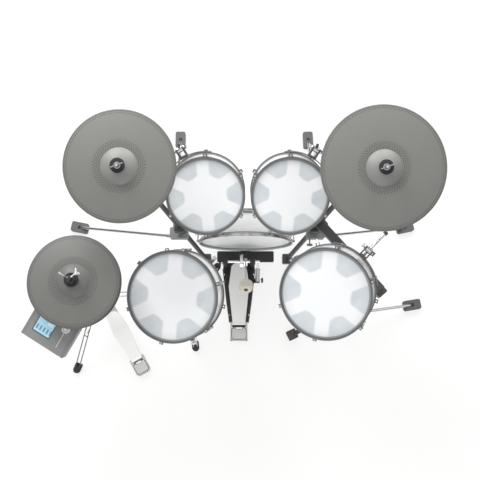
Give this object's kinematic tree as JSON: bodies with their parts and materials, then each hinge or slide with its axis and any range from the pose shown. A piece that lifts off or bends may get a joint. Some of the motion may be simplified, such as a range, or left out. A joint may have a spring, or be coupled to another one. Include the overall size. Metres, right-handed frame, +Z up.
{
  "type": "electronic drum kit",
  "caption": "Electronic drum kit with mesh-head drums, rubber cymbals, hi-hat, kick pedal, tripod stands and a sound module.",
  "frame": {"origin": "on the floor at the middle of the kit's outline", "axes": "+Z up, +Y away from the player, +X to the player's right"},
  "size_m": [1.7129, 1.1785, 1.1432],
  "materials": {
    "shell_white": "gloss wrap",
    "hoop_grey": "satin grey coat",
    "head_white": "woven, slightly see-through",
    "chrome": "polished",
    "carrier_white": "moulded",
    "bracket_grey": "satin grey coat",
    "tube_dark": "satin dark coat",
    "cymbal_rubber": "matt, with fine rings",
    "pedal_silver": "cast and brushed",
    "pedal_black": "satin black coat",
    "felt_cream": "pressed felt",
    "strap_black": "woven strap",
    "spring_steel": "drawn wire",
    "case_grey": "fine grain",
    "screen_blue": "lit display",
    "knob_white": "moulded"
  },
  "bodies": {
    "kit": {"kick_shell": "shell_white", "kick_hoops": "hoop_grey", "kick_heads": "head_white", "kick_lugs": "chrome", "kick_trigger": "carrier_white", "stand_posts": "tube_dark", "stand_legs": "chrome", "left_tom_arm": "tube_dark", "right_tom_arm": "tube_dark", "crossbar": "tube_dark", "hihat_bottom_cymbal": "cymbal_rubber", "hihat_stand": "chrome", "hihat_legs": "chrome", "pedal_base": "pedal_black", "pedal_heel_plate": "pedal_silver", "pedal_spring": "spring_steel", "kick_plate": "pedal_black", "kick_spurs": "chrome", "snare_stand": "chrome", "hihat_heel_plate": "pedal_silver", "module_clamp": "tube_dark"},
    "snare": {"snare_shell": "shell_white", "snare_hoops": "hoop_grey", "snare_heads": "head_white", "snare_lugs": "chrome", "snare_trigger": "carrier_white", "snare_basket": "chrome"},
    "left_tom": {"left_tom_shell": "shell_white", "left_tom_hoops": "hoop_grey", "left_tom_heads": "head_white", "left_tom_lugs": "chrome", "left_tom_trigger": "carrier_white", "left_tom_bracket": "bracket_grey"},
    "right_tom": {"right_tom_shell": "shell_white", "right_tom_hoops": "hoop_grey", "right_tom_heads": "head_white", "right_tom_lugs": "chrome", "right_tom_trigger": "carrier_white", "right_tom_bracket": "bracket_grey"},
    "floor_tom": {"floor_tom_shell": "shell_white", "floor_tom_hoops": "hoop_grey", "floor_tom_heads": "head_white", "floor_tom_lugs": "chrome", "floor_tom_trigger": "carrier_white", "floor_tom_bracket": "bracket_grey"},
    "crash_tilter": {"crash_tilter": "chrome"},
    "crash": {"crash_cymbal": "cymbal_rubber"},
    "ride_tilter": {"ride_tilter": "chrome"},
    "ride": {"ride_cymbal": "cymbal_rubber"},
    "hihat_board": {"hihat_footboard": "pedal_silver"},
    "hihat_rod": {"hihat_rod": "chrome", "hihat_top_cymbal": "cymbal_rubber"},
    "kick_board": {"pedal_footboard": "pedal_silver", "pedal_band": "strap_black"},
    "kick_beater": {"pedal_axle": "chrome", "pedal_beater": "felt_cream"},
    "module": {"module_case": "case_grey", "module_screen": "screen_blue"},
    "module_knob": {"module_knob": "knob_white"}
  },
  "joints": [
    {"name": "snare_tilt", "type": "hinge", "parent": "kit", "child": "snare", "pos_m": [-0.23081, -0.24661, 0.45164], "axis": [0.7071, -0.7071, 0], "range_deg": [-14, 10]},
    {"name": "left_tom_tilt", "type": "hinge", "parent": "kit", "child": "left_tom", "pos_m": [-0.24125, 0.31038, 0.68683], "axis": [-0.866, -0.4532, -0.2113], "range_deg": [-6, 14]},
    {"name": "right_tom_tilt", "type": "hinge", "parent": "kit", "child": "right_tom", "pos_m": [0.31025, 0.31038, 0.68683], "axis": [-0.866, 0.4532, 0.2113], "range_deg": [-6, 14]},
    {"name": "floor_tom_tilt", "type": "hinge", "parent": "kit", "child": "floor_tom", "pos_m": [0.51172, -0.10308, 0.69273], "axis": [-0.7071, 0.7071, 0], "range_deg": [-4, 14]},
    {"name": "crash_tilt", "type": "hinge", "parent": "kit", "child": "crash_tilter", "pos_m": [-0.4265, 0.14642, 1.03055], "axis": [1, 0, 0], "range_deg": [-12, 20]},
    {"name": "crash_rock", "type": "hinge", "parent": "crash_tilter", "child": "crash", "pos_m": [-0.4265, 0.13278, 1.10074], "axis": [1, 0, 0], "range_deg": [-6, 6], "stiffness_Nm_per_rad": 15},
    {"name": "ride_tilt", "type": "hinge", "parent": "kit", "child": "ride_tilter", "pos_m": [0.5195, 0.14842, 1.00055], "axis": [1, 0, 0], "range_deg": [-12, 20]},
    {"name": "ride_rock", "type": "hinge", "parent": "ride_tilter", "child": "ride", "pos_m": [0.5195, 0.13478, 1.07074], "axis": [1, 0, 0], "range_deg": [-6, 6], "stiffness_Nm_per_rad": 15},
    {"name": "hihat_pedal", "type": "hinge", "parent": "kit", "child": "hihat_board", "pos_m": [-0.47837, -0.51084, 0.024], "axis": [0.8744, 0.4852, 0], "range_deg": [-6, 0], "stiffness_Nm_per_rad": 20, "springref_deg": 28.65},
    {"name": "hihat_close", "type": "slide", "parent": "kit", "child": "hihat_rod", "axis": [0, 0, 1], "range_m": [-0.024, 0]},
    {"name": "kick_pedal", "type": "hinge", "parent": "kit", "child": "kick_board", "pos_m": [-0.0025, -0.3463, 0.024], "axis": [1, 0, 0], "range_deg": [-6.2, 0], "stiffness_Nm_per_rad": 20, "springref_deg": 17.19},
    {"name": "beater_swing", "type": "hinge", "parent": "kit", "child": "kick_beater", "pos_m": [-0.0025, -0.0713, 0.152], "axis": [1, 0, 0], "range_deg": [-56, 0], "deforming": ["pedal_spring"]},
    {"name": "module_tilt", "type": "hinge", "parent": "kit", "child": "module", "pos_m": [-0.72286, -0.41265, 0.66533], "axis": [0.8499, -0.527, 0], "range_deg": [-15, 8]},
    {"name": "knob_turn", "type": "hinge", "parent": "module", "child": "module_knob", "pos_m": [-0.66292, -0.41657, 0.72961], "axis": [-0.1096, -0.1767, 0.9781], "continuous": true}
  ],
  "couplings": [
    {"joint": "hihat_close", "follows": "hihat_pedal", "m_per_rad": 0.2285},
    {"joint": "beater_swing", "follows": "kick_pedal", "ratio": 9}
  ]
}
